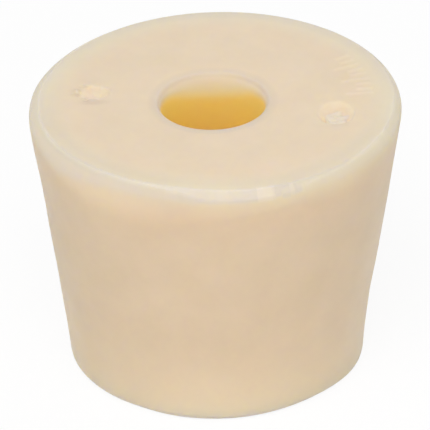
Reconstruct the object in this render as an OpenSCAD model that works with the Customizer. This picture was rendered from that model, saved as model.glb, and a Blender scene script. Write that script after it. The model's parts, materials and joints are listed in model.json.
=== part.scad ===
// One-hole laboratory stopper, moulded in one piece from soft gum rubber.
// It stands on its narrow end: the origin is the centre of that end face, +Z runs up the bore
// to the wide end, and the two gate marks of the mould lie on the X axis.

/* [Tapered body] */
// Diameter across the widest part, just under the rounded top edge
top_d = 34; // [30:0.1:40]
// Diameter where the tapered side would meet the base plane
base_d = 27; // [23:0.1:29.5]
// Height from the base to the top face
body_h = 26.2; // [20:0.1:32]
// Radius of the rounded edge around the top face
top_edge_r = 1.1; // [0.3:0.05:2]
// Radius of the rounded edge around the base
base_edge_r = 0.9; // [0.3:0.05:2]

/* [Through bore] */
// Diameter of the straight bore wall
bore_d = 9.5; // [5:0.1:11]
// Radius of the rounded lip at each mouth of the bore
bore_lip_r = 0.5; // [0.1:0.05:0.6]

/* [Gate marks] */
// Diameter of the circle on which the two gate marks lie
gate_pcd = 22.8; // [20:0.1:24]
// Mouth diameter of the deep gate mark, on the +X side
deep_mark_d = 3.5; // [2.6:0.1:4]
// Depth of the deep gate mark below the top face
deep_mark_h = 1; // [0.8:0.05:1.3]
// Diameter of the torn stub of rubber on the floor of the deep gate mark
deep_stub_d = 2; // [1:0.1:2.2]
// Height of that stub above the floor
deep_stub_h = 0.35; // [0.2:0.05:0.5]
// Mouth diameter of the shallow gate mark, on the -X side
shallow_mark_d = 2.7; // [2:0.1:3.4]
// Depth of the shallow gate mark below the top face
shallow_mark_h = 0.5; // [0.4:0.05:0.95]
// Diameter of the torn stub of rubber on the floor of the shallow gate mark
shallow_stub_d = 1.2; // [0.8:0.1:1.6]
// Height of that stub above the floor
shallow_stub_h = 0.15; // [0.1:0.05:0.3]

/* [Hidden] */
$fn = 96;

top_r = top_d / 2;
base_r = base_d / 2;
bore_r = bore_d / 2;

// The top edge is an arc whose widest point lies at top_r
top_arc_x = top_r - top_edge_r;
top_arc_z = body_h - top_edge_r;

// The side is the line from the sharp base corner that touches the outside of the top arc
corner_to_arc = norm([top_arc_x - base_r, top_arc_z]);
side_slope = atan2(top_arc_z, top_arc_x - base_r) - asin(top_edge_r / corner_to_arc);
side_normal = [sin(side_slope), -cos(side_slope)];

// The base edge is an arc that touches both the base plane and the side
base_arc_x = base_r - base_edge_r / tan((180 - side_slope) / 2);
base_arc_z = base_edge_r;

// The lip of each mouth is an arc that touches the bore wall and the end face
lip_x = bore_r + bore_lip_r;

// How far a torn stub reaches down into the rubber
stub_root = 0.5;

// Point at which an arc about centre touches the side
function side_touch(centre, r) = centre + r * side_normal;

// Half section: straight lines between the points where they run into the rounded edges
module section_core() {
    polygon([
        [lip_x, 0],
        [base_arc_x, 0],
        side_touch([base_arc_x, base_arc_z], base_edge_r),
        side_touch([top_arc_x, top_arc_z], top_edge_r),
        [top_arc_x, body_h],
        [lip_x, body_h],
        [bore_r, body_h - bore_lip_r],
        [bore_r, bore_lip_r],
    ]);
}

// Half section with its rounded edges
module section() {
    section_core();
    translate([base_arc_x, base_arc_z]) circle(r = base_edge_r);
    translate([top_arc_x, top_arc_z]) circle(r = top_edge_r);
    for (z = [bore_lip_r, body_h - bore_lip_r])
        translate([lip_x, z]) circle(r = bore_lip_r);
}

// Radius of the ball whose cap has the given mouth diameter and depth
function cap_ball_r(mouth_d, depth) = (pow(mouth_d / 2, 2) + pow(depth, 2)) / (2 * depth);

// Hollow left by a gate: a round bowl cut into the face
module gate_bowl(mouth_d, depth) {
    ball_r = cap_ball_r(mouth_d, depth);
    translate([0, 0, ball_r - depth])
        sphere(r = ball_r);
}

// Torn stub in the middle of a bowl, rooted in the rubber below its floor
module gate_stub(depth, stub_d, stub_h) {
    translate([0, 0, -depth - stub_root])
        cylinder(d = stub_d, h = stub_root + stub_h);
}

// Puts its children on the top face: the deep mark's place, or the shallow mark's opposite it
module at_gate(side) {
    translate([side * gate_pcd / 2, 0, body_h]) children();
}

module stopper() {
    color("#e5d4b8") {
        difference() {
            rotate_extrude() section();
            at_gate(1) gate_bowl(deep_mark_d, deep_mark_h);
            at_gate(-1) gate_bowl(shallow_mark_d, shallow_mark_h);
        }
        at_gate(1) gate_stub(deep_mark_h, deep_stub_d, deep_stub_h);
        at_gate(-1) gate_stub(shallow_mark_h, shallow_stub_d, shallow_stub_h);
    }
}

stopper();
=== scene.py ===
import json
import math

import bpy
import numpy as np
from mathutils import Matrix, Vector


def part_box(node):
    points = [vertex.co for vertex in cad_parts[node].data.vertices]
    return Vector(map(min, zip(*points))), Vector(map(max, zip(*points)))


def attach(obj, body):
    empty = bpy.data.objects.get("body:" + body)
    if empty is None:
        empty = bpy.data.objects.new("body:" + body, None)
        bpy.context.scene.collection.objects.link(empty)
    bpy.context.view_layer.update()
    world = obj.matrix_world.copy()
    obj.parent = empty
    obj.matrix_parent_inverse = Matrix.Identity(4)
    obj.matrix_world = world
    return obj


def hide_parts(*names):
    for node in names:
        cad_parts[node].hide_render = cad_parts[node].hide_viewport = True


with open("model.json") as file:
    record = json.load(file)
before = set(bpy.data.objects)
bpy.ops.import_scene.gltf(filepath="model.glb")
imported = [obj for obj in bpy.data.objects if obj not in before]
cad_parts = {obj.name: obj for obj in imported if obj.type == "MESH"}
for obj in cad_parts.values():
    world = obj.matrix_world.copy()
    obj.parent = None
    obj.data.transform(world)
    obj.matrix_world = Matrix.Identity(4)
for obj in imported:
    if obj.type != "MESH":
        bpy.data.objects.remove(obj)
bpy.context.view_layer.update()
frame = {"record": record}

# Lengths are in millimetres, and azimuths in degrees from +X, until a mesh, lamp or camera is made.
MM = 0.001

# ------------------------------------------------------------------ sizes of the stopper

low_corner, high_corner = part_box("stopper")
HEIGHT = high_corner.z / MM
TOP_R = (high_corner.x - low_corner.x) / 2 / MM
bore_mount = next(m for m in frame["record"]["mounts"] if m["name"] == "bore")
BORE_R = bore_mount["dims"]["r_mm"]
LIP_R = (HEIGHT - bore_mount["dims"]["length_mm"]) / 2
# The radius at which the side would meet the base, and how round that edge is
BASE_R = 13.5
BASE_EDGE_R = 0.9
# How far down the edge of the wide end reaches where it wasn't trimmed
EDGE_DROP = 1.1

# The side's line in the half section: its slope, how far out it runs for each millimetre up, and the way
# up it
SIDE_SLOPE = math.atan2(HEIGHT - EDGE_DROP, TOP_R - BASE_R)
SIDE_RUN = 1 / math.tan(SIDE_SLOPE)
SIDE_WAY = np.array([math.cos(SIDE_SLOPE), math.sin(SIDE_SLOPE)])
# Where the bore's lips end on the end faces, and where the base's flat ends at its rounded edge
LIP_X = BORE_R + LIP_R
BASE_ARC_X = BASE_R - BASE_EDGE_R / math.tan((math.pi - SIDE_SLOPE) / 2)

# How far down the bore its rounded mouth reaches in the wide face
MOUTH_DEPTH = 1.2

# The stopper's front, which hand trimming changed most
FRONT_AZIMUTH = -77

# The skin's wide end lies a little to one side of its narrow one, while the bore stands upright: how far,
# to which azimuth, and how far out from the bore the skin leans in full
LEAN = 0.52
LEAN_AZIMUTH = 13
LEAN_FULL = 4

# The edge of the wide end starts at a crease with a narrow bevel, past which it curves into the side.
# Hand trimming left it uneven. For each azimuth: how far the crease lies in from the widest part, the
# whole drop of the edge, the bevel's width in plan and its slope, and the slope just past it
RIM = np.array([
    (-180, 0.76, 1.0, 0.2, 31, 34),
    (-158, 0.83, 1.5, 0.16, 36, 46),
    (-140, 1.0, 3.2, 0.12, 42, 70),
    (-122, 1.34, 4.3, 0.12, 44, 72),
    (-103, 1.64, 5.2, 0.14, 46, 73),
    (-90, 1.57, 4.9, 0.24, 50, 75),
    (-82, 1.43, 3.9, 0.58, 52, 76),
    (-68, 1.14, 2.8, 0.57, 52, 77),
    (-52, 0.9, 2.1, 0.48, 52, 77),
    (-42, 0.81, 4.0, 0.2, 48, 72),
    (-26, 0.77, 4.7, 0.14, 42, 67),
    (-8, 0.75, 2.2, 0.2, 33, 46),
    (60, 0.75, 1.1, 0.2, 31, 34),
    (120, 0.75, 1.1, 0.2, 31, 34),
])
# Over how many degrees to each side the rows run into one another
RIM_SMOOTH = 3
# How long the handles of the edge's curve are, as a share of the way between its ends
RIM_HANDLES = 0.5

# Small facets left by the trimming knife: first and last azimuth, narrowest and widest facet, how rough
TRIM_RUNS = [(-67, -49, 0.7, 2.8, 1.0), (-100, -70, 1.5, 5, 0.3), (-18, -2, 1.5, 4, 0.5)]
# How far a facet stands out, rolls about a line this far past the crease, and slants along the edge
FACET_STEP = 0.035
FACET_ROLL = 0.16
FACET_AXIS = 0.4
FACET_SLANT = 0.08
# Where facets start, are full, ebb and end past the crease, and how much further a rolled one reaches
FACET_BAND = (-0.05, 0.1, 0.9, 1.1)
FACET_REACH = 0.15
# The first run's seed, more facets than a run holds, and over how many degrees a run sets in and ebbs
FACET_SEED = 40
FACET_COUNT = 80
RUN_SETS_IN, RUN_EBBS = 1, 0.5

# Low swellings and dips of the side: azimuth and its spread, height and its spread, how far they stand out
SWELLS = [
    (-12, 18, 0, 1.8, 0.4),
    (13, 40, 6.5, 3.5, -0.14),
    (-66, 16, 0, 2.5, 0.07),
    (-110, 12, 0, 3.0, -0.15),
    (-152, 20, 0, 2.5, 0.16),
    (-167, 14, 4, 3.0, 0.08),
    (-164, 20, 24, 3.0, 0.1),
]

# Unevenness of the wide face and of the side: height, size and seed
FACE_UNEVEN = [(0.02, 9, 11), (0.004, 1.6, 12)]
SIDE_UNEVEN = [(0.018, 7, 21), (0.004, 1.4, 22)]
# It ebbs this close to the bore and to the edge. On the way down the side it starts, is full, ebbs and
# ends at these shares
CALM_BY_BORE = 2
CALM_BY_EDGE = 2.5
SIDE_CALM = (0, 0.15, 0.85, 1)

# Marks of the two mould gates in the wide face: a bowl with a torn stub on its floor, crisp in front and
# drawn out behind, and how white its stub is. Crumbs and dents round it, and places where shade is painted
# on the face round it: to the right, to the back, width, depth in plan, and height or share
GATE_Y = -0.5
DEEP_MARK = dict(
    middle=(11.33, GATE_Y - 0.1), mouth_r=1.65, behind=1.4, depth=0.75, stub_r=0.9, stub_h=0.34,
    crisp=0.04, soft=0.2, ragged=0.01, seed=3, white=1, crumbs=[(0, -2.0, 1.4, 0.45, -0.03)],
    painted_shades=[(0, -1.9, 1.5, 0.4, 0.3)])
SHALLOW_MARK = dict(
    middle=(-11.25, GATE_Y), mouth_r=1.27, behind=1.1, depth=0.42, stub_r=0.5, stub_h=0.08,
    crisp=0.03, soft=0.12, ragged=0.06, seed=7, white=0, crumbs=[
        (-1.67, 0.35, 0.3, 0.35, 0.16),
        (-1.8, -0.25, 0.3, 0.2, 0.14),
        (-1.3, -0.5, 0.25, 0.2, -0.12),
        (-1.0, 1.3, 0.28, 0.22, 0.18),
        (-0.8, -1.15, 0.2, 0.14, -0.2),
        (-0.1, -1.25, 0.7, 0.12, 0.1),
        (-0.05, -1.65, 0.9, 0.35, -0.06),
    ], painted_shades=[
        (-0.05, -1.7, 1.1, 0.35, 1.0),
        (-1.6, 0.5, 0.4, 0.25, 0.9),
        (-1.65, -0.35, 0.4, 0.25, 0.9),
        (-0.8, -1.3, 0.3, 0.2, 1.0),
        (-0.9, 1.1, 0.3, 0.2, 0.7),
    ])
# A mark's front begins where the way out from its middle has the first of these cosines to straight
# ahead, and is full at the second
MARK_FRONT = (-0.9, 0.3)
# A bowl is a ball's cap up to this share of the ball's radius, and goes on as a cone this steep
CAP_SHARE = 0.995
CONE_SLOPE = 4
# Over which depths below the face a mark comes to count as hollow
HOLLOW_STEP = (0.01, 0.14)
# Torn rubber: the size of its lumps and their height, and the pit in the middle of a stub
TORN_LUMP = 1.1
TORN_HEIGHT = 0.03
PIT_DEPTH = 0.1
PIT_R = 0.17
# A stub's flank: how ragged its edge is, how steep it is behind, how much steeper in front, how softly it
# meets the bowl, and where it shows: how far above the bowl, and how far out
STUB_RAGGED = 0.1
FLANK_SLOPE = 0.3
FLANK_FRONT = 0.8
FLANK_SOFT = 0.08
FLANK_ABOVE = (-0.08, 0.12)
FLANK_REACH = 0.35

# Plain raised ticks in the place of a moulded size mark: in each group, one long and the rest short
TICKS_FROM = 15
TICKS_TO = 45
TICK_STEP = 3.6
TICK_GROUP = 3
TICK_H = 0.04
TICK_W = 0.45
TICK_SOFT = 0.2
TICK_OUTER_R = 14.5
TICK_LONG = 2.6
TICK_SHORT = 1.5

# ------------------------------------------------------------------ where the finishes lie

# Shares run from 0 to 1. Four numbers for a stretch or a band say where it starts, is full, ebbs and
# ends: stretches in azimuth, and bands in distance past the crease, which is negative on the wide face.

# Trimming left the rubber pale along the edge. For each azimuth: how far inside the crease that
# starts, how wide the pale band is past it, over how much more it fades, how pale it is, and how strong
# the painted highlight on it is
PALE_BAND = np.array([
    (-180, 0.9, 0.5, 0.7, 0.6, 0.1),
    (-150, 0.35, 0.9, 1.2, 0.8, 0.35),
    (-137, 0.35, 1.4, 1.2, 0.9, 0.4),
    (-115, 0.35, 0.8, 0.9, 0.9, 0.3),
    (-95, 0.35, 0.8, 0.7, 0.9, 0.2),
    (-86, 0.35, 1.05, 0.45, 1.0, 0.1),
    (-62, 0.35, 1.0, 0.4, 1.0, 0.05),
    (-50.5, 0.35, 0.95, 0.4, 1.0, 0),
    (-49.5, 0.35, 0.6, 0.9, 0.7, 0.15),
    (-38, 0.35, 0.6, 0.9, 0.7, 0.25),
    (0, 0.7, 0.6, 1.2, 0.5, 0.2),
    (60, 1.5, 0.5, 0.6, 0.6, 0),
    (120, 1.5, 0.5, 0.6, 0.6, 0),
])
# Where the painted highlight on the band sets in and is full past the crease, and how strong the painted
# glint is on a facet that stands out
HIGHLIGHT_FROM, HIGHLIGHT_FULL = 0.2, 0.9
FACET_GLINT = 0.35

# A greyer line along the crease
SEAM_GREY = 0.4
SEAM_HALF_WIDTH = 0.11
SEAM_STRETCHES = [(-146, -138, -116, -98), (-64, -58, -36, -20)]

# A dry film: thin on the wide face, thicker over the last stretch before its edge, and gone some way past
FACE_FILM = 0.14
EDGE_FILM = 0.6
EDGE_FILM_LEAD = 3.5
EDGE_FILM_REACH = 3.2

# A lighter colour: painted light in the gate marks' hollows, where shade would fall, a paler tone on the
# ticks, and painted light from the floor round the foot up to some height, where it falls to a lower level
# away from the front
HOLLOW_PAINTED_LIGHT = 0.8
TICK_PALE = 0.4
FOOT_PAINTED_LIGHT = 0.65
FOOT_LIGHT_REACH = 10
FOOT_LIGHT_AROUND = 0.4
FOOT_FRONT_SPREAD = 45

# Painted shade in a dull grey: on the bore's lip, up to this far out and ebbing between these depths, round
# the back of the edge, and inside the trimmed crease, where it is less at the very front
LIP_GREY_SHADE = 0.6
LIP_SHADE_OUT = 0.9
LIP_SHADE_EBB, LIP_SHADE_END = 0.6, 1.6
BACK_GREY_SHADE = 0.4
BACK_STRETCH = (0, 50, 125, 175)
BACK_BAND = (-1.5, 0.2, 1.5, 3)
CREASE_GREY_SHADE = 0.4
CREASE_STRETCH = (-178, -150, -20, 10)
CREASE_BAND = (-2.4, -0.6, -0.1, 0.2)
CREASE_FRONT_LESS = 0.6
CREASE_FRONT_SPREAD = 18

# Painted shade under the trimmed edge: its band is a share of the way down the edge's curve
TRIM_SHADE = 0.45
TRIM_SHADE_STRETCH = (-118, -92, -58, -30)
TRIM_SHADE_BAND = (0, 0.2, 0.7, 1.2)

# How much sooner, going down, the bore turns amber on its front wall than on its back one, and how far out
# from the bore's lip the look of its wall reaches
FRONT_WALL_SOONER = 4.5
BORE_LOOK_OUT = 0.6
# Painted light and sheen on the bore's wall just under its mouth: over which depths it sets in, and over
# which it ebbs, sooner in front as well
MOUTH_SHEEN = 0.7
MOUTH_SHEEN_FROM, MOUTH_SHEEN_FULL = 0.1, 0.5
MOUTH_SHEEN_EBB, MOUTH_SHEEN_END = 0.8, 2.2


# ------------------------------------------------------------------ helpers for shape

def spaced(start, stop, coarse, bands=()):
    """Values from start to stop, coarse apart, or closer in each (low, high, step) band."""
    values = [start]
    while values[-1] < stop - 1e-6:
        at = values[-1]
        step = min([coarse] + [fine for low, high, fine in bands if low - 1e-6 <= at < high - 1e-6])
        next_band = [low for low, high, fine in bands if low > at + 1e-6]
        values.append(min([at + step, stop] + next_band))
    return np.array(values)


def ripple(points, size, seed, waves=14):
    """Smooth seeded noise of about unit strength whose swells are about size across."""
    rng = np.random.default_rng(seed)
    ways = rng.normal(size=(waves, points.shape[-1]))
    pitch = 2 * math.pi / size * rng.uniform(0.7, 1.4, waves)
    ways *= (pitch / np.linalg.norm(ways, axis=1))[:, None]
    phases = rng.uniform(0, 2 * math.pi, waves)
    return np.cos(points @ ways.T + phases).sum(axis=-1) * math.sqrt(2 / waves)


def uneven(points, ripples):
    """The height of several ripples together."""
    return sum(height * ripple(points, size, seed) for height, size, seed in ripples)


def smooth_step(low, high, x):
    """0 at low and 1 at high, with a smooth rise between them."""
    t = np.clip((x - low) / (high - low), 0, 1)
    return t * t * (3 - 2 * t)


def between(x, start, full, ebb, end):
    """1 from full to ebb, and 0 before start and past end."""
    return smooth_step(start, full, x) * smooth_step(end, ebb, x)


def soft_lower(a, b, soft):
    """The lower of two heights, rounded where they cross."""
    return -soft * np.logaddexp(-a / soft, -b / soft)


def soft_upper(a, b, soft):
    """The upper of two heights, rounded where they cross."""
    return soft * np.logaddexp(a / soft, b / soft)


def bump(across, along, wide, deep):
    """A round swelling of unit height, at the distances across and along from its middle."""
    return np.exp(-(across / wide) ** 2 - (along / deep) ** 2)


def arc(middle, radii, first, last, count):
    """Points on an arc, or on an ellipse's, between two angles in degrees from straight outward."""
    angles = np.radians(np.linspace(first, last, count))
    return np.array(middle) + np.array(radii) * np.stack([np.cos(angles), np.sin(angles)], axis=1)


def turn(azimuth, away_from):
    """Signed difference of two azimuths, from -180 to 180."""
    return (azimuth - away_from + 180) % 360 - 180


def heading(azimuth):
    """The unit vector in plan that points to an azimuth."""
    return np.array([math.cos(math.radians(azimuth)), math.sin(math.radians(azimuth))])


# ------------------------------------------------------------------ the trimmed edge

# Points across the edge's bevel, and along its curve
BEVEL_POINTS = 6
CURVE_POINTS = 18


def by_azimuth(table, azimuths, smooth=0):
    """The columns of a table by azimuth at these azimuths, smoothed over some degrees to each side."""
    around = azimuths + smooth * np.array([-1, -0.5, 0, 0.5, 1])[:, None]
    return [np.interp(around, table[:, 0], column, period=360).mean(axis=0) for column in table.T[1:]]


def knife_facets(azimuths):
    """Each trimmed run's facets: how rough it is here, and each facet's step, roll, slant and far side."""
    for run, (first, last, least, most, rough) in enumerate(TRIM_RUNS):
        rng = np.random.default_rng(FACET_SEED + run)
        bounds = first + np.cumsum(rng.uniform(least, most, FACET_COUNT))
        facet = np.searchsorted(bounds, azimuths)
        step, roll, slant = (rng.uniform(-1, 1, FACET_COUNT + 1)[facet] for _ in range(3))
        here = rough * between(azimuths, first, first + RUN_SETS_IN, last - RUN_EBBS, last)
        yield here, step, roll, slant, np.append(bounds, last)[facet]


def facet_relief(azimuths, past_crease):
    """How far the knife's facets stand out of the edge."""
    start, full, ebb, end = FACET_BAND
    proud = 0
    for facets in knife_facets(azimuths):
        here, step, roll, slant, far_side = (values[:, None] for values in facets)
        along = np.radians(azimuths[:, None] - far_side) * TOP_R
        rise = FACET_STEP * step + FACET_ROLL * roll * (past_crease - FACET_AXIS)
        rise = rise + FACET_SLANT * slant * along
        further = FACET_REACH * roll
        proud = proud + here * rise * between(past_crease, start, full, ebb + further, end + further)
    return proud


def trimmed_band(azimuths, past_crease):
    """How pale trimming left the rubber, and how strong the painted highlight is on its band and facets."""
    lead, width, fade, pale, bright = by_azimuth(PALE_BAND, azimuths)
    caught = 0
    for here, step, roll, *_ in knife_facets(azimuths):
        width = width + FACET_REACH * here * roll
        # A facet that stands out gets a painted glint
        caught = caught + FACET_GLINT * here * np.maximum(step, 0)
    lead, width, fade, pale, bright, caught = (
        column[:, None] for column in (lead, width, fade, pale, bright, caught))
    band = between(past_crease, -lead, 0, width, width + fade)
    return pale * band, (bright * smooth_step(HIGHLIGHT_FROM, HIGHLIGHT_FULL, past_crease) + caught) * band


def edge_curve(azimuths):
    """The edge for each azimuth: a bevel from the crease, then a curve that runs into the side."""
    inset, drop, width, tilt, slope = by_azimuth(RIM, azimuths, RIM_SMOOTH)
    crease = np.stack([TOP_R - inset, np.full_like(inset, HEIGHT)], axis=1)[:, None]
    foot = np.stack([TOP_R - (drop - EDGE_DROP) * SIDE_RUN, HEIGHT - drop], axis=1)[:, None]
    bevel = np.stack([width, -width * np.tan(np.radians(tilt))], axis=1)[:, None]
    start = crease + bevel
    way = np.stack([np.cos(np.radians(slope)), -np.sin(np.radians(slope))], axis=1)[:, None]
    reach = RIM_HANDLES * np.linalg.norm(foot - start, axis=-1, keepdims=True)
    out, down = start + reach * way, foot + SIDE_WAY * reach
    share = np.linspace(0, 1, BEVEL_POINTS)[None, :, None]
    t = np.linspace(0, 1, CURVE_POINTS)[None, :, None]
    curve = (1 - t) ** 3 * start + 3 * (1 - t) ** 2 * t * out + 3 * (1 - t) * t ** 2 * down + t ** 3 * foot
    return crease + share * bevel, curve


# ------------------------------------------------------------------ the stopper's skin

# The grid is finer where the marks, the ticks and the knife's facets are
TICK_ZONE = (TICKS_FROM - 2, TICKS_TO + 1)
AZIMUTHS = spaced(-180, 180, 1.6, [
    (-180, -168, 0.4),
    (-100, -67, 0.6),
    (-67, -48, 0.3),
    (-26, -12, 0.6),
    (-12, 12, 0.36),
    (*TICK_ZONE, 0.45),
    (168, 180, 0.4),
])[:-1]
# The face's rings are round up to here. Past it they draw up to the crease, at these shares of the way
FACE_R = 15.1
FACE_RADII = spaced(LIP_X, FACE_R, 0.42, [(9.3, 13.5, 0.085), (13.5, 15.0, 0.14)])
MARGIN_SHARES = np.array([0, 0.4, 0.75, 0.94, 1])
# Points along the other stretches of the half section
WALL_POINTS = 19
UPPER_LIP_POINTS = 10
SIDE_POINTS = 30
BASE_EDGE_POINTS = 9
BASE_POINTS = 9
LOWER_LIP_POINTS = 6


def section(azimuths):
    """Each stretch of the half section, once round: arrays of (azimuth, ring, radius and height)."""
    face = np.stack([FACE_RADII, np.full_like(FACE_RADII, HEIGHT)], axis=1)
    bevel, curve = edge_curve(azimuths)
    inward = MARGIN_SHARES[None, :, None]
    tangent = math.degrees(SIDE_SLOPE) - 90
    base_edge = arc((BASE_ARC_X, BASE_EDGE_R), BASE_EDGE_R, tangent, -90, BASE_EDGE_POINTS)
    down = np.linspace(0, 1, SIDE_POINTS)[None, :, None]
    upper_lip_z = HEIGHT - MOUTH_DEPTH
    once = {
        "wall": np.linspace((BORE_R, LIP_R), (BORE_R, upper_lip_z), WALL_POINTS),
        "upper_lip": arc((LIP_X, upper_lip_z), (LIP_R, MOUTH_DEPTH), 180, 90, UPPER_LIP_POINTS),
        "face": face,
        "margin": face[-1] * (1 - inward) + bevel[:, :1] * inward,
        "bevel": bevel,
        "curve": curve,
        "side": curve[:, -1:] * (1 - down) + base_edge[0] * down,
        "base_edge": base_edge,
        "base": np.linspace((BASE_ARC_X, 0), (LIP_X, 0), BASE_POINTS),
        "lower_lip": arc((LIP_X, LIP_R), LIP_R, -90, -180, LOWER_LIP_POINTS),
    }
    return {name: np.broadcast_to(p, (len(azimuths), *p.shape[-2:])) for name, p in once.items()}


class Skin:
    """The skin before any relief: a closed grid with a row for each azimuth and a column for each ring."""

    def __init__(self, azimuths):
        stretches = section(azimuths)
        ends = np.cumsum([points.shape[1] - 1 for points in stretches.values()])
        self.azimuths = azimuths
        self.starts = dict(zip(stretches, [0, *ends]))
        self.ring = np.arange(ends[-1])
        grid = np.concatenate([points[:, :-1] for points in stretches.values()], axis=1)
        self.radius, self.height = grid[..., 0], grid[..., 1]
        self.azimuth = np.broadcast_to(azimuths[:, None], self.radius.shape)
        self.x = self.radius * np.cos(np.radians(self.azimuth))
        self.y = self.radius * np.sin(np.radians(self.azimuth))
        steps = np.hypot(np.diff(self.radius, axis=1), np.diff(self.height, axis=1))
        run = np.concatenate([np.zeros((len(grid), 1)), np.cumsum(steps, axis=1)], axis=1)
        self.past_crease = run - run[:, self.starts["bevel"]][:, None]

    def on(self, first, past):
        """True on the rings from the start of one stretch up to the start of another."""
        return (self.ring >= self.starts[first]) & (self.ring < self.starts[past])

    def way(self, first, past):
        """How far each ring lies on the way from the start of one stretch to the start of another."""
        return (self.ring - self.starts[first]) / (self.starts[past] - self.starts[first])


# ------------------------------------------------------------------ relief of the skin

def gate_mark(
        x, y, middle, mouth_r, behind, depth, stub_r, stub_h, crisp, soft, ragged, seed, white,
        crumbs, painted_shades):
    """Height of the face in and around a gate's bowl, how white its stub is, and where shade is painted on
    the face.
    """
    front = heading(FRONT_AZIMUTH)
    plan = np.stack([x, y], axis=-1) - middle
    ahead, aside = plan @ front, plan @ np.array([-front[1], front[0]])
    away = np.hypot(ahead, aside)
    torn = ripple(plan, TORN_LUMP, seed)
    reach = np.hypot(np.where(ahead < 0, ahead / behind, ahead), aside) * (1 + ragged * torn)
    in_front = smooth_step(*MARK_FRONT, ahead / np.maximum(away, 0.01))
    ball_r = (mouth_r ** 2 + depth ** 2) / (2 * depth)
    inside = np.minimum(reach, ball_r * CAP_SHARE)
    bowl = ball_r - depth - np.sqrt(ball_r ** 2 - inside ** 2) + CONE_SLOPE * (reach - inside)
    stub_top = stub_h - depth + TORN_HEIGHT * torn - PIT_DEPTH * np.exp(-(away / PIT_R) ** 2)
    outside = np.maximum(away - stub_r * (1 + STUB_RAGGED * torn), 0)
    stub = stub_top - (FLANK_SLOPE + FLANK_FRONT * in_front) * outside
    on_stub = smooth_step(*FLANK_ABOVE, stub - bowl) * smooth_step(stub_r + FLANK_REACH, stub_r, away)
    rounding = crisp + (soft - crisp) * (1 - in_front)
    height = soft_lower(soft_upper(bowl, stub, FLANK_SOFT), 0, rounding)
    for right, back, wide, deep, proud in crumbs:
        height = height + proud * bump(aside - right, ahead + back, wide, deep)
    # Painted shade on the face round the mark
    shaded = 0
    for right, back, wide, deep, share in painted_shades:
        shaded = shaded + share * bump(aside - right, ahead + back, wide, deep)
    return height, white * on_stub, shaded


def ticks(radius, azimuth):
    """Where the plain raised ticks are: 1 on them, 0 beside them."""
    share = np.zeros_like(radius)
    for count, middle in enumerate(np.arange(TICKS_FROM, TICKS_TO, TICK_STEP)):
        length = TICK_LONG if count % TICK_GROUP == 0 else TICK_SHORT
        across = np.abs(radius * np.radians(turn(azimuth, middle))) - TICK_W / 2
        along = np.abs(radius - TICK_OUTER_R + length / 2) - length / 2
        share = np.maximum(share, smooth_step(TICK_SOFT, -TICK_SOFT, np.maximum(across, along)))
    return share


def face_relief(skin):
    """The wide face's relief, how hollow and torn it is, where shade is painted on it, and how ticked it
    is.
    """
    face = skin.on("upper_lip", "bevel")
    marks = [gate_mark(skin.x, skin.y, **mark) for mark in (DEEP_MARK, SHALLOW_MARK)]
    hollows, torn, shaded = (np.where(face, sum(parts), 0) for parts in zip(*marks))
    ticked = np.where(face, ticks(skin.radius, skin.azimuth), 0)
    calm = between(skin.radius, LIP_X, LIP_X + CALM_BY_BORE, TOP_R - CALM_BY_EDGE, TOP_R)
    waves = np.where(face, calm * uneven(np.stack([skin.x, skin.y], axis=-1), FACE_UNEVEN), 0)
    return hollows + TICK_H * ticked + waves, smooth_step(*HOLLOW_STEP, -hollows), torn, shaded, ticked


def outer_relief(skin):
    """How far the side and the edge stand out."""
    calm = between(skin.way("side", "base_edge"), *SIDE_CALM)
    waves = calm * uneven(np.stack([skin.x, skin.y, skin.height], axis=-1), SIDE_UNEVEN)
    facets = facet_relief(skin.azimuths, skin.past_crease)
    proud = np.where(skin.on("side", "base_edge"), waves, 0) + np.where(skin.on("bevel", "side"), facets, 0)
    # The swells ebb across the base, and are gone at the bore
    outer = np.where(skin.ring >= skin.starts["bevel"], smooth_step(LIP_X, BASE_ARC_X, skin.radius), 0)
    for middle, spread, level, tall, out in SWELLS:
        proud = proud + out * outer * bump(turn(skin.azimuth, middle), skin.height - level, spread, tall)
    return proud


def place(skin, relief, proud):
    """The skin's points: its relief upward on the face, outward on the side, and turning on the edge."""
    turning = skin.way("bevel", "side") * math.pi / 2
    upward = np.where(skin.on("bevel", "side"), np.cos(turning), 0)
    height = skin.height + relief + proud * upward
    radius = skin.radius + proud * np.sqrt(1 - upward ** 2)
    lean = LEAN * (height / HEIGHT - 0.5) * smooth_step(LIP_X, LIP_X + LEAN_FULL, skin.radius)
    turned, leaning = np.radians(skin.azimuth), heading(LEAN_AZIMUTH)
    x = radius * np.cos(turned) + lean * leaning[0]
    y = radius * np.sin(turned) + lean * leaning[1]
    return np.stack([x, y, height], axis=-1)


# ------------------------------------------------------------------ where the finishes lie on the skin

def seam_grey_line(skin):
    """How grey the line along the crease is."""
    crease_r = TOP_R - by_azimuth(RIM, skin.azimuths, RIM_SMOOTH)[0][:, None]
    greyness = SEAM_GREY * sum(between(skin.azimuth, *stretch) for stretch in SEAM_STRETCHES)
    line = np.exp(-((skin.radius - crease_r) / SEAM_HALF_WIDTH) ** 2)
    return np.where(skin.on("margin", "side"), greyness * line, 0)


def dry_film(skin):
    """How thick the dry film is."""
    past = skin.past_crease
    on_face = FACE_FILM + (EDGE_FILM - FACE_FILM) * smooth_step(-EDGE_FILM_LEAD, 0, past)
    beyond = EDGE_FILM * smooth_step(EDGE_FILM_REACH, 0, past)
    film = np.where(skin.on("bevel", "base_edge"), beyond, 0)
    return np.where(skin.on("upper_lip", "bevel"), on_face, film)


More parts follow.
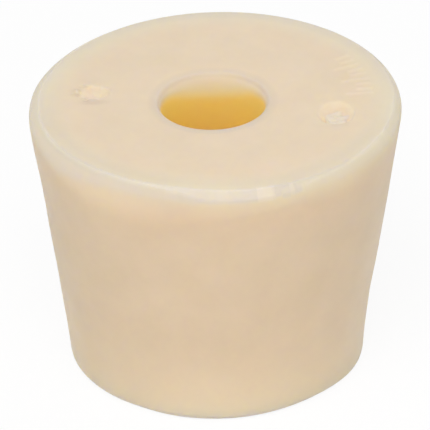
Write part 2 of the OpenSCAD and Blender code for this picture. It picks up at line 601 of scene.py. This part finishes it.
def grey_shade_shares(skin, below):
    """How much painted shade, in a dull grey, lies on the bore's lip, at the back of the edge and inside
    the trimmed crease.
    """
    lip = LIP_GREY_SHADE * smooth_step(LIP_SHADE_OUT, 0, skin.radius - LIP_X)
    lip = lip * smooth_step(LIP_SHADE_END, LIP_SHADE_EBB, below)
    back = between(skin.azimuth, *BACK_STRETCH) * between(skin.past_crease, *BACK_BAND)
    in_front = np.exp(-(turn(skin.azimuth, FRONT_AZIMUTH) / CREASE_FRONT_SPREAD) ** 2)
    along = between(skin.azimuth, *CREASE_STRETCH) * (1 - CREASE_FRONT_LESS * in_front)
    return lip + BACK_GREY_SHADE * back + CREASE_GREY_SHADE * along * between(skin.past_crease, *CREASE_BAND)


def foot_painted_light(skin, height):
    """How much painted light lies round the foot, most at the front."""
    in_front = np.exp(-(turn(skin.azimuth, FRONT_AZIMUTH) / FOOT_FRONT_SPREAD) ** 2)
    level = FOOT_LIGHT_AROUND + (1 - FOOT_LIGHT_AROUND) * in_front
    return FOOT_PAINTED_LIGHT * level * smooth_step(FOOT_LIGHT_REACH, 0, height)


def grid_mesh(name, points, attributes):
    """A closed mesh from a grid of points in mm that wraps both ways, with point attributes."""
    rows, columns = points.shape[:2]
    index = np.arange(rows * columns).reshape(rows, columns)
    right, below = np.roll(index, -1, axis=0), np.roll(index, -1, axis=1)
    corner = np.roll(right, -1, axis=1)
    quads = np.stack([index, below, corner, right], axis=-1).reshape(-1, 4)
    mesh = bpy.data.meshes.new(name)
    mesh.from_pydata((points.reshape(-1, 3) * MM).tolist(), [], quads.tolist())
    mesh.polygons.foreach_set("use_smooth", np.ones(len(quads), bool))
    for key, values in attributes.items():
        layer = mesh.attributes.new(key, "FLOAT", "POINT")
        layer.data.foreach_set("value", values.reshape(-1).astype(np.float32))
    mesh.update()
    piece = bpy.data.objects.new(name, mesh)
    bpy.context.scene.collection.objects.link(piece)
    return piece


def make_stopper():
    """The whole moulding as one closed skin: its CAD solid's form, trimmed, marked and uneven."""
    skin = Skin(AZIMUTHS)
    relief, hollow, torn, shaded, ticked = face_relief(skin)
    points = place(skin, relief, outer_relief(skin))
    height = points[..., 2]
    below = HEIGHT - height

    to_front = 0.5 - 0.5 * np.cos(np.radians(turn(skin.azimuth, FRONT_AZIMUTH + 180)))
    sunk = np.minimum(below, height) * (1 + FRONT_WALL_SOONER * to_front)
    # Painted light and sheen on the bore's wall just under its mouth
    mouth = MOUTH_SHEEN * smooth_step(MOUTH_SHEEN_FROM, MOUTH_SHEEN_FULL, below)
    mouth = mouth * smooth_step(MOUTH_SHEEN_END, MOUTH_SHEEN_EBB, sunk)
    pale, bright = trimmed_band(skin.azimuths, skin.past_crease)
    trim = between(skin.azimuth, *TRIM_SHADE_STRETCH) * between(skin.way("curve", "side"), *TRIM_SHADE_BAND)
    return grid_mesh("stopper_rubber", points, {
        "torn": torn,
        "seam": seam_grey_line(skin),
        "pale": pale,
        # Painted highlight on the trimmed edge and its facets, and painted light and sheen under the bore's
        # mouth
        "bright": bright + np.where(skin.on("wall", "face"), mouth, 0),
        # Painted shade round the gate marks and under the trimmed edge
        "shaded": shaded + TRIM_SHADE * trim,
        "film": dry_film(skin),
        # Painted light in the gate marks' hollows and round the foot, and a paler tone on the ticks
        "fresh": HOLLOW_PAINTED_LIGHT * hollow + TICK_PALE * ticked + foot_painted_light(skin, height),
        # Painted shade in a dull grey on the bore's lip, the back of the edge and inside the crease
        "dull": grey_shade_shares(skin, below),
        "bore_depth": np.where(skin.radius < LIP_X + BORE_LOOK_OUT, sunk, 0),
    })


# ------------------------------------------------------------------ materials

def linear(code):
    """An sRGB hex colour as linear red, green, blue and alpha."""
    parts = [int(code[i:i + 2], 16) / 255 for i in (1, 3, 5)]
    return (*[c / 12.92 if c <= 0.04045 else ((c + 0.055) / 1.055) ** 2.4 for c in parts], 1)


def node(tree, kind, inputs=(), **settings):
    """Adds a shader node, and gives its inputs their values or the sockets that feed them."""
    made = tree.nodes.new("ShaderNode" + kind)
    for key, value in settings.items():
        setattr(made, key, value)
    for key, value in dict(inputs).items():
        if isinstance(value, bpy.types.NodeSocket):
            tree.links.new(value, made.inputs[key])
        else:
            made.inputs[key].default_value = value
    return made


def empty_material(name):
    material = bpy.data.materials.new(name)
    material.use_nodes = True
    material.node_tree.nodes.clear()
    return material, material.node_tree


CREAM = "#e3ceb1"
# What lies over the cream, each over the ones before it, and where: clouds of a lighter cream all over,
# amber down the bore, painted as the glow of light that crossed the rubber, and the rest as the skin's
# points say, among them painted shade, painted light and painted highlights
FINISHES = {
    "clouds": "#e7d2b6",
    "shaded": "#d7bfa6",
    "fresh": "#f3e0c2",
    "film": "#ddd8c3",
    "pale": "#d8cdc1",
    "seam": "#c0b8ad",
    "dull": "#d2c2b2",
    "amber": "#ffc682",
    "bright": "#eddfcd",
    "torn": "#e8dbc3",
}

# The rubber's patterns: how large, how many times finer they go, and how strong the finer parts are. The
# moulded skin's grain is finer than a hair, and is drawn as coarse, deep and strong as it needs to show
CLOUDS = (3.85, 3, 0.6)
SATIN_PATCHES = (2.38, 3, 0.55)
GRAIN = (0.2, 2, 0.6)
GRAIN_DEPTH = 0.04
GRAIN_STRENGTH = 0.12
# Nearly all of a pattern lies between these values
PATTERN_RANGE = {"From Min": 0.3, "From Max": 0.7}
# How rough the satin is at least and at most
SATIN_ROUGHNESS = {"To Min": 0.42, "To Max": 0.54}

# How far light travels in the rubber: at its skin, and where it comes out in the bore, which it reaches
# over this stretch of depth
LIGHT_REACH = 4
BORE_LIGHT_REACH = 35
REACH_FROM, REACH_FULL = 0.3, 2.2
# Over which depth the bore turns amber: a painted glow of light that crossed the rubber, on top of the
# light that scattering in the rubber carries there
AMBER_FROM, AMBER_FULL = 0.9, 3.4


def gum_rubber():
    """Natural gum rubber, moulded: cream and satin, drier and paler on the end faces, and almost white
    where it was torn. It is translucent, so light that reaches the bore has crossed the rubber and comes
    out amber, and that amber is painted into its colour as well. Shade, light and a near-white highlight
    along the trimmed edge are painted into its colour in places too."""
    material, tree = empty_material("moulded_gum_rubber")
    where = node(tree, "TexCoord").outputs["Object"]
    depth = node(tree, "Attribute", attribute_name="bore_depth").outputs["Fac"]
    clouds, patches, grain = (
        node(tree, "TexNoise", {
            "Vector": where,
            "Scale": 1 / (size * MM),
            "Detail": detail,
            "Roughness": finer,
        })
        for size, detail, finer in (CLOUDS, SATIN_PATCHES, GRAIN))

    drift = node(tree, "MapRange", {"Value": clouds.outputs["Fac"], **PATTERN_RANGE})
    # The amber down the bore is a painted glow of light that crossed the rubber
    down_bore = {"Value": depth, "From Min": AMBER_FROM, "From Max": AMBER_FULL}
    amber = node(tree, "MapRange", down_bore, interpolation_type="SMOOTHSTEP")
    shares = {"clouds": drift.outputs["Result"], "amber": amber.outputs["Result"]}
    colour = linear(CREAM)
    for name, finish in FINISHES.items():
        if name not in shares:
            shares[name] = node(tree, "Attribute", attribute_name=name).outputs["Fac"]
        # This node's inputs 6 and 7 and its output 2 are the ones for colours
        layers = {0: shares[name], 6: colour, 7: linear(finish)}
        colour = node(tree, "Mix", layers, data_type="RGBA").outputs[2]

    satin = node(tree, "MapRange", {"Value": patches.outputs["Fac"], **PATTERN_RANGE, **SATIN_ROUGHNESS})
    bumps = {"Strength": GRAIN_STRENGTH, "Distance": GRAIN_DEPTH * MM, "Height": grain.outputs["Fac"]}
    reach = node(tree, "MapRange", {
        "Value": depth,
        "From Min": REACH_FROM,
        "From Max": REACH_FULL,
        "To Min": LIGHT_REACH * MM,
        "To Max": BORE_LIGHT_REACH * MM,
    })
    rubber = node(tree, "BsdfPrincipled", {
        "Base Color": colour,
        "Roughness": satin.outputs["Result"],
        "IOR": 1.52,
        "Specular IOR Level": 0.3,
        "Subsurface Weight": 1.0,
        "Subsurface Radius": (1.0, 0.9, 0.4),
        "Subsurface Scale": reach.outputs["Result"],
        "Normal": node(tree, "Bump", bumps).outputs["Normal"],
    })
    node(tree, "OutputMaterial", {"Surface": rubber.outputs["BSDF"]})
    return material


def seen_directly(tree):
    """1 for what the camera sees, itself or by a mirror or glass, and 0 for light that falls on things."""
    rays = node(tree, "LightPath").outputs
    mirrored = node(tree, "Math", {0: rays["Is Camera Ray"], 1: rays["Is Glossy Ray"]}, operation="MAXIMUM")
    either = {0: mirrored.outputs[0], 1: rays["Is Transmission Ray"]}
    return node(tree, "Math", either, operation="MAXIMUM").outputs[0]


# How much of the paper's look is plain white, which leaves the rest for its soft shadow
WHITE_SHARE = 0.9


def studio_paper():
    """Matt white paper: it keeps the soft shadow, and shows white where none falls."""
    material, tree = empty_material("matt_white_paper")
    paper = node(tree, "BsdfPrincipled", {"Base Color": linear("#fafafa"), "Roughness": 0.9})
    white = node(tree, "Emission", {"Color": linear("#ffffff"), "Strength": 1.0})
    share = node(tree, "Math", {0: seen_directly(tree), 1: WHITE_SHARE}, operation="MULTIPLY")
    shown = node(tree, "MixShader", {0: share.outputs[0], 1: paper.outputs[0], 2: white.outputs[0]})
    node(tree, "OutputMaterial", {"Surface": shown.outputs[0]})
    return material


# ------------------------------------------------------------------ studio

# The rest of the studio is in metres, apart from the camera's millimetres
FLOOR_HALF = 1.2
WORLD_LEVEL = 0.4

# Each softbox: its side, its distance, the azimuth and elevation it stands at, and its watts
SOFTBOXES = {
    "key_softbox": (0.35, 0.6, -90, 60, 2.06),
    "side_softbox": (0.35, 0.6, -37, 35, 0.24),
    "back_softbox": (0.35, 0.6, 90, 40, 0.35),
}


def make_floor():
    corners = [(-1, -1), (1, -1), (1, 1), (-1, 1)]
    mesh = bpy.data.meshes.new("floor")
    mesh.from_pydata([(x * FLOOR_HALF, y * FLOOR_HALF, 0) for x, y in corners], [], [(0, 1, 2, 3)])
    floor = bpy.data.objects.new("floor", mesh)
    bpy.context.scene.collection.objects.link(floor)
    mesh.materials.append(studio_paper())


def make_lights():
    world = bpy.data.worlds.new("white_room")
    bpy.context.scene.world = world
    world.use_nodes = True
    tree = world.node_tree
    tree.nodes.clear()
    level = node(tree, "MapRange", {"Value": seen_directly(tree), "To Min": WORLD_LEVEL, "To Max": 1.0})
    sky = node(tree, "Background", {"Color": linear("#ffffff"), "Strength": level.outputs["Result"]})
    node(tree, "OutputWorld", {"Surface": sky.outputs[0]})
    for name, (side, distance, azimuth, elevation, watts) in SOFTBOXES.items():
        lamp = bpy.data.lights.new(name, "AREA")
        lamp.shape = "SQUARE"
        lamp.size = side
        lamp.energy = watts
        softbox = bpy.data.objects.new(name, lamp)
        turned, raised = math.radians(azimuth), math.radians(elevation)
        way = Vector((
            math.cos(turned) * math.cos(raised), math.sin(turned) * math.cos(raised), math.sin(raised)))
        softbox.location = way * distance
        softbox.rotation_euler = way.to_track_quat("Z", "Y").to_euler()
        bpy.context.scene.collection.objects.link(softbox)


# Camera: how far round from -Y and how far up it stands and how it rolls, in degrees, and how far away
VIEW_AZIMUTH = 13
VIEW_ELEVATION = 31.85
VIEW_ROLL = -1.77
VIEW_DISTANCE = 510
FRAME_PX = 430
FOCAL_PX = 5512
SENSOR = 36
# How far the view's middle lies right of and above the stopper's own middle
AIM_RIGHT = -0.14
AIM_UP = 0.677


def make_camera():
    azimuth, elevation, roll = (math.radians(a) for a in (VIEW_AZIMUTH, VIEW_ELEVATION, VIEW_ROLL))
    back = Vector((
        math.sin(azimuth) * math.cos(elevation),
        -math.cos(azimuth) * math.cos(elevation),
        math.sin(elevation),
    ))
    level_right = Vector((math.cos(azimuth), math.sin(azimuth), 0))
    level_up = back.cross(level_right)
    right = level_right * math.cos(roll) + level_up * math.sin(roll)
    up = level_up * math.cos(roll) - level_right * math.sin(roll)
    middle = Vector((0, 0, HEIGHT / 2)) + right * AIM_RIGHT + up * AIM_UP
    data = bpy.data.cameras.new("camera")
    data.sensor_width = SENSOR
    data.lens = SENSOR * FOCAL_PX / FRAME_PX
    data.clip_start = 0.01
    camera = bpy.data.objects.new("camera", data)
    turned = Matrix((right, up, back)).transposed().to_4x4()
    camera.matrix_world = Matrix.Translation((middle + back * VIEW_DISTANCE) * MM) @ turned
    bpy.context.scene.collection.objects.link(camera)
    bpy.context.scene.camera = camera


# ------------------------------------------------------------------ the scene

make_floor()
make_lights()
make_camera()

stopper = make_stopper()
stopper.data.materials.append(gum_rubber())
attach(stopper, "root")
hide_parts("stopper")

bpy.context.scene.view_settings.view_transform = "Standard"
